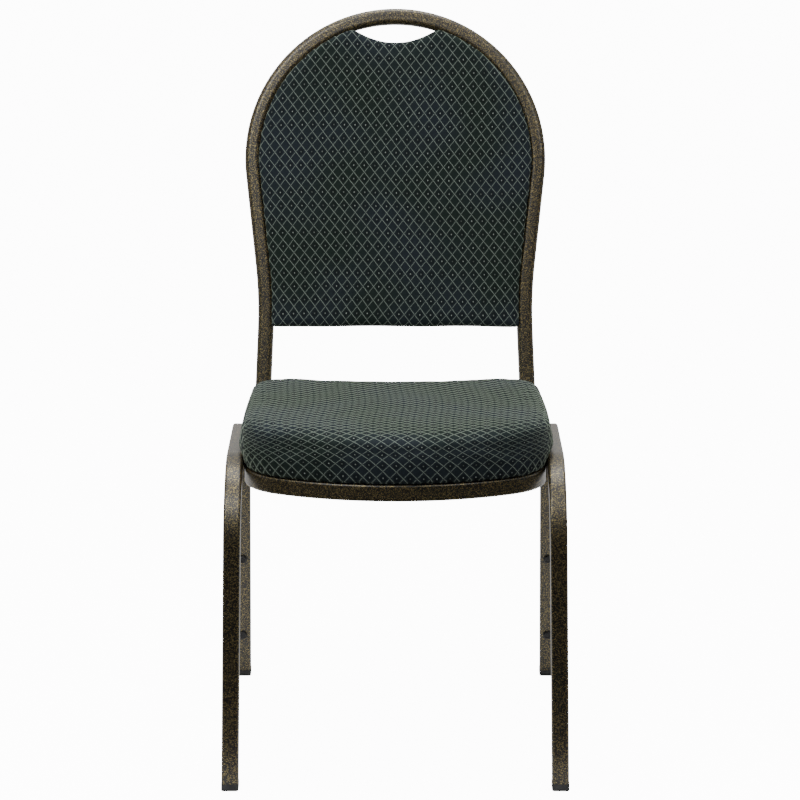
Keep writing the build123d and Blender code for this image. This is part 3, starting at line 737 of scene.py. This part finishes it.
def lay_cloth(pad, top, rim, pull, shift=(0.0, 0.0)):
    """Writes the cloth's coordinates. pull(point, outward, face_middle, length, extra) places one point."""
    mesh = pad.data
    layer = mesh.uv_layers.new(name="cloth")
    for face in mesh.polygons:
        for corner in face.loop_indices:
            vertex = mesh.vertices[mesh.loops[corner].vertex_index]
            outward = vertex.normal.xy
            if outward.length > 1e-4:
                outward.normalize()
            length, extra = edge_lengths(max(top - vertex.co.z, 0.0), rim)
            place = pull(vertex.co.xy, outward, face.center.xy, length, extra)
            across = place.x + WANDER * math.sin(place.y / 0.048 + 0.8) + shift[0]
            along = place.y + 0.6 * WANDER * math.sin(place.x / 0.061) + shift[1]
            layer.data[corner].uv = (across, along)


def pull_outward(point, outward, face_middle, length, extra):
    """Thin pads: the cloth goes straight over the edge."""
    return point + outward * extra


print("ready to lay cloth")


# %% [markdown]
# ## The seat pad
#
# The seat is a slab of foam on plywood, about 65 mm thick with the board, under one piece of cloth. Its
# walls are nearly upright and its top edge is a tight round. Foam cut from a slab stays a little higher
# along its sides than in the middle, where people sit, and it bulges over the rails beside it. So after the
# cloth has swelled, the top is given a slight dish and a fall towards the front, and the sides are moved
# outwards.

# %% The seat pad's shape
SEAT_TOP = 0.0655
SEAT_ROUND = 0.014
SEAT_WALL = (  # (inset, height) from the board up
    (0.0030, 0.0004),
    (0.0024, 0.0040),
    (0.0016, 0.0090),
    (0.0, 0.0170),
    (-0.0010, 0.0280),
    (-0.0010, 0.0400),
)
PAD_NET = 0.0050


def round_profile(inset, top, radius, steps=7):
    """(inset, height) pairs up a round edge that ends level with the top."""
    turns = [math.radians(90 * step / steps) for step in range(steps + 1)]
    return [(inset + radius * (1 - math.cos(turn)), top - radius + radius * math.sin(turn)) for turn in turns]


seat_profile = list(SEAT_WALL) + round_profile(SEAT_WALL[-1][0], SEAT_TOP, SEAT_ROUND)
seat_stack = [(seat_outline(inset), height) for inset, height in seat_profile]
seat_pad = stacked_pad("seat_cushion", seat_stack)
even_net(seat_pad, PAD_NET)
print("the seat pad has", len(seat_pad.data.polygons), "faces")

# %% [markdown]
# At the front corners the cloth is pulled so that its rows run along the edge, and what is left over is
# folded in a pleat at the side. So the wall has three zones, and each is pulled its own way: forwards,
# sideways or rearwards. They agree on top and part only below the edge, as the folded cloth does. In the
# front zone, a point is moved from where it would be on flat cloth towards the place that its distance
# along the front edge gives it.

# %% How the cloth goes down the seat's walls
PLEAT_TURN = math.radians(72)
WRAP_LENGTH = 0.055  # the cloth has turned to follow the edge this far down


def along_front(point):
    """How far along the front edge a point is from the middle, and how far the edge has run back there."""
    turn = math.atan2(abs(point.x), BOW_CENTRE - point.y)
    if turn <= BOW_TURN:
        return turn * SEAT_BOW, (1 - math.cos(turn)) * SEAT_BOW
    turn = math.atan2(abs(point.x) - CORNER_X, CORNER_Y - point.y)
    run_back = (1 - math.cos(BOW_TURN)) * SEAT_BOW + (math.cos(BOW_TURN) - math.cos(turn)) * SEAT_CORNER
    return BOW_TURN * SEAT_BOW + (turn - BOW_TURN) * SEAT_CORNER, run_back


def seat_zone(middle):
    """Which way the cloth is pulled at a place on the wall."""
    turn = math.atan2(abs(middle.x) - CORNER_X, CORNER_Y - middle.y)
    if middle.y < CORNER_Y and turn < PLEAT_TURN:
        return "front"
    from_rear = middle.y - (SEAT_REAR - SEAT_REAR_CORNER)
    from_side = abs(middle.x) - (SEAT_HALF - SEAT_REAR_CORNER)
    return "rear" if from_rear > from_side else "side"


def pull_seat_cloth(point, outward, face_middle, length, extra):
    """Thick pad: the cloth is pulled over the edge by zones."""
    zone = seat_zone(face_middle)
    side = math.copysign(1.0, point.x)
    if zone == "side":
        return point + Vector((side * extra, 0))
    if zone == "rear":
        return point + Vector((0, extra))
    wrapped = min(length / WRAP_LENGTH, 1.0)
    wrapped *= wrapped * (3 - 2 * wrapped)
    run_along, run_back = along_front(point)
    across = point.x + wrapped * (side * run_along - point.x)
    return Vector((across, point.y - extra - wrapped * run_back))


print("the pleats turn", round(math.degrees(PLEAT_TURN)), "degrees round the corners")

# %% Swell and dish the seat pad
SEAT_DISH = 0.0040
SEAT_SETTLE = 0.0030
SEAT_PINNED = 0.008
FALL_START = 0.050
FALL = 0.0035
SIDE_BULGE = (0.0045, 0.0070)
BULGE_RISE = 0.022  # the bulge is full this far above the pinned rows
BULGE_FRONT = 0.010


def lift(point):
    """How much a point on top moves up: the sides stay high, and the middle and the front sink."""
    if point.z < SEAT_TOP / 2:
        return 0.0
    sideways = min(abs(point.x) / SEAT_HALF, 1.0)
    forwards = max(FALL_START - point.y, 0.0) / (FALL_START - SEAT_FRONT)
    height = (point.z - SEAT_TOP / 2) / (SEAT_TOP / 2)
    return height * (SEAT_DISH * sideways**2 - SEAT_SETTLE - FALL * forwards**1.5 * (1 - 0.8 * sideways**2))


def barrel(point):
    """How far the sides bulge over the side rails: most about half way back, and more on the right."""
    most = SIDE_BULGE[1] if point.x > 0 else SIDE_BULGE[0]
    outwards = max(abs(point.x) / SEAT_HALF - 0.5, 0.0) / 0.5
    upwards = min(max(point.z - SEAT_PINNED, 0.0) / BULGE_RISE, 1.0)
    backwards = min(max(point.y - BULGE_FRONT, 0.0) / (SEAT_REAR - BULGE_FRONT), 1.0)
    return math.copysign(most * outwards**2 * upwards * math.sin(math.pi * backwards**0.8) ** 0.7, point.x)


lay_cloth(seat_pad, SEAT_TOP, SEAT_ROUND, pull_seat_cloth)
swell(seat_pad, lambda point: point.z < SEAT_PINNED, pressure=2.5, cap=0.0025)
for vertex in seat_pad.data.vertices:
    vertex.co.z += lift(vertex.co)
    vertex.co.x += barrel(vertex.co)
refine(seat_pad, seat_plane)
settle(seat_pad, seat_cloth)
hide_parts("seat_cover", "seat_foam")
print("the seat pad reaches up to", round(max(vertex.co.z for vertex in seat_pad.data.vertices), 4))

# %% [markdown]
# ## The back pads
#
# The back has two pads with the boards between them. The front one is a thin slab that fills the hoop and
# stands a little proud of it. Its foam squeezes over the tube, and its cloth hangs a few uneven millimetres
# below the board. The rear one is flatter still. Both are shaped lying flat on the hoop's plane.

# %% The front of the back
BACK_FRONT = 0.0090
BACK_ROUND = 0.0068
BACK_OVERLAP = 0.0040  # over the tube beside it
BACK_PINNED = -0.004
BACK_HANG = 0.0016
HANG_REACH = 0.030  # the hang fades out this far up
BACK_WALL = ((0.0080, -0.0141), (0.0010, -0.0128), (0.0, -0.0080), (-0.0004, -0.0010))
BACK_NET = 0.0036
BACK_SHIFT = (-0.0037, -0.0043)  # of the cloth's pattern on the board


def hang(point):
    """How far the cloth hangs at the bottom edge: more at the corners, and a little wavy."""
    low = max(BACK_BOTTOM + HANG_REACH - point.y, 0.0) / HANG_REACH
    return BACK_HANG * low * (0.8 + 0.7 * (point.x / 0.17) ** 4 + 0.25 * math.sin(point.x / 0.021))


rounded_edge = round_profile(BACK_WALL[-1][0], BACK_FRONT, BACK_ROUND)
inside_hoop = [(back_outline(inset), height) for inset, height in BACK_WALL]
over_tube = [(back_outline(inset, BACK_OVERLAP), height) for inset, height in rounded_edge]
back_stack = inside_hoop + over_tube
back_pad = stacked_pad("back_cushion", back_stack)
even_net(back_pad, BACK_NET)
lay_cloth(back_pad, BACK_FRONT, BACK_ROUND, pull_outward, BACK_SHIFT)
swell(back_pad, lambda point: point.z < BACK_PINNED, pressure=2.0, cap=0.0010)
for vertex in back_pad.data.vertices:
    vertex.co.y -= hang(vertex.co)
refine(back_pad, back_plane)
settle(back_pad, back_cloth)
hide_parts("back_cover", "back_foam")
print("the back pad has", len(back_pad.data.polygons), "faces")

# %% The rear of the back
REAR_FACE = 0.0262
REAR_ROUND = 0.0050
REAR_WALL = ((0.0016, 0.0124), (0.0011, 0.0145), (0.0011, 0.0200))  # down over the hardboard's edge
REAR_PINNED = 0.0185


def flipped_back_outline(inset):
    """The back's outline as seen from behind, so that the rear pad can be stacked rearwards."""
    return [Vector((-point.x, point.y)) for point in back_outline(inset)]


rear_profile = list(REAR_WALL) + round_profile(REAR_WALL[-1][0], REAR_FACE, REAR_ROUND, steps=5)
rear_stack = [(flipped_back_outline(inset), height) for inset, height in rear_profile]
rear_pad = stacked_pad("rear_cushion", rear_stack)
even_net(rear_pad, BACK_NET)
lay_cloth(rear_pad, REAR_FACE, REAR_ROUND, pull_outward)
swell(rear_pad, lambda point: point.z < REAR_PINNED, pressure=1.5, cap=0.003)
refine(rear_pad, back_plane @ Matrix.Rotation(math.pi, 4, "Y"))
settle(rear_pad, back_cloth)
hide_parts("rear_cover", "rear_foam")
print("the rear pad has", len(rear_pad.data.polygons), "faces")

# %% [markdown]
# ## The studio
#
# The chair stands on a pale floor in a white studio. A soft box in front and to the left models the tubes,
# a weaker one to the right fills the other side, and a wide one overhead lights the seat. Glossy paint
# mirrors the room, so the room is bright behind and above the chair and dark in front of it, and the floor
# ends just in front of the legs. That keeps the tubes' front faces dark. The floor and the room also glow,
# but only for rays that come straight from the camera, so the background is plain white and the glow lights
# nothing. The camera stands well back with a long lens, above the chair, and looks slightly down.

# %% The floor
GLOW = 12.0  # only for camera rays
FLOOR_SIZE = 40.0
FLOOR_FRONT = 0.34  # the floor ends this far in front of the chair's middle
bpy.ops.object.select_all(action="DESELECT")
bpy.ops.mesh.primitive_plane_add(size=FLOOR_SIZE, location=(0, FLOOR_SIZE / 2 - FLOOR_FRONT, -0.0002))
floor = bpy.context.object
floor.name = "studio_floor"
floor_material, floor_tree, floor_shader = new_material("pale_floor")
floor_shader.inputs["Base Color"].default_value = (0.93, 0.93, 0.93, 1)
floor_shader.inputs["Roughness"].default_value = 0.9
floor_shader.inputs["Specular IOR Level"].default_value = 0.1
floor_shader.inputs["Emission Color"].default_value = (1, 1, 1, 1)
seen = node(floor_tree, "ShaderNodeLightPath").outputs["Is Camera Ray"]
floor_tree.links.new(calc(floor_tree, "MULTIPLY", seen, GLOW), floor_shader.inputs["Emission Strength"])
floor.data.materials.append(floor_material)
print("the floor is", tuple(round(side, 1) for side in floor.dimensions[:2]), "metres")

# %% The surrounding light
FRONT_LIGHT = 0.03
REAR_LIGHT = 0.85
OVERHEAD_LIGHT = 0.62
world = bpy.data.worlds.new("studio_white")
scene.world = world
world.use_nodes = True
sky = world.node_tree
backdrop = sky.nodes["Background"]
backdrop.inputs["Color"].default_value = (1, 1, 1, 1)
direction = node(sky, "ShaderNodeTexCoord").outputs["Generated"]
facing = node(sky, "ShaderNodeSeparateXYZ", Vector=direction)
surrounding = fade(sky, facing.outputs["Y"], -0.4, 0.8, FRONT_LIGHT, REAR_LIGHT)
overhead = fade(sky, facing.outputs["Z"], 0.3, 0.9, 0.0, OVERHEAD_LIGHT)
surrounding = calc(sky, "ADD", surrounding, overhead)
looking = node(sky, "ShaderNodeLightPath").outputs["Is Camera Ray"]
strength = calc(sky, "ADD", surrounding, calc(sky, "MULTIPLY", looking, GLOW))
sky.links.new(strength, backdrop.inputs["Strength"])
print("the surrounding goes from", FRONT_LIGHT, "in front to", REAR_LIGHT, "behind")


# %% The lights
def soft_light(name, place, target, size, power):
    """A square soft box that points at a target."""
    lamp = bpy.data.lights.new(name, "AREA")
    lamp.shape = "SQUARE"
    lamp.size = size
    lamp.energy = power
    box = bpy.data.objects.new(name, lamp)
    box.location = place
    box.rotation_euler = (Vector(target) - Vector(place)).to_track_quat("-Z", "Y").to_euler()
    scene.collection.objects.link(box)


soft_light("key_light", (-0.75, -1.35, 1.85), (-0.1, 0.15, 0.8), 1.0, 25)
soft_light("fill_light", (0.95, -1.35, 1.85), (0, 0.15, 0.7), 0.7, 8)
soft_light("top_light", (0.0, 0.3, 2.9), (0, 0.05, 0.4), 1.4, 30)
print("placed the lights")

# %% The camera
CAMERA_BACK = 3.3587  # in front of the front legs
CAMERA_HEIGHT = 1.3299
CAMERA_TILT = math.radians(13.487)
CAMERA_LENS = 123.66
CAMERA_SHIFT = 0.0059

lens = bpy.data.cameras.new("camera")
lens.lens = CAMERA_LENS
lens.sensor_width = 36.0
lens.shift_x = CAMERA_SHIFT
camera = bpy.data.objects.new("camera", lens)
camera.location = (0, front_face - CAMERA_BACK, CAMERA_HEIGHT)
camera.rotation_euler = (math.pi / 2 - CAMERA_TILT, 0, 0)
scene.collection.objects.link(camera)
scene.camera = camera
print("the camera stands", round(-camera.location.y, 2), "metres in front")
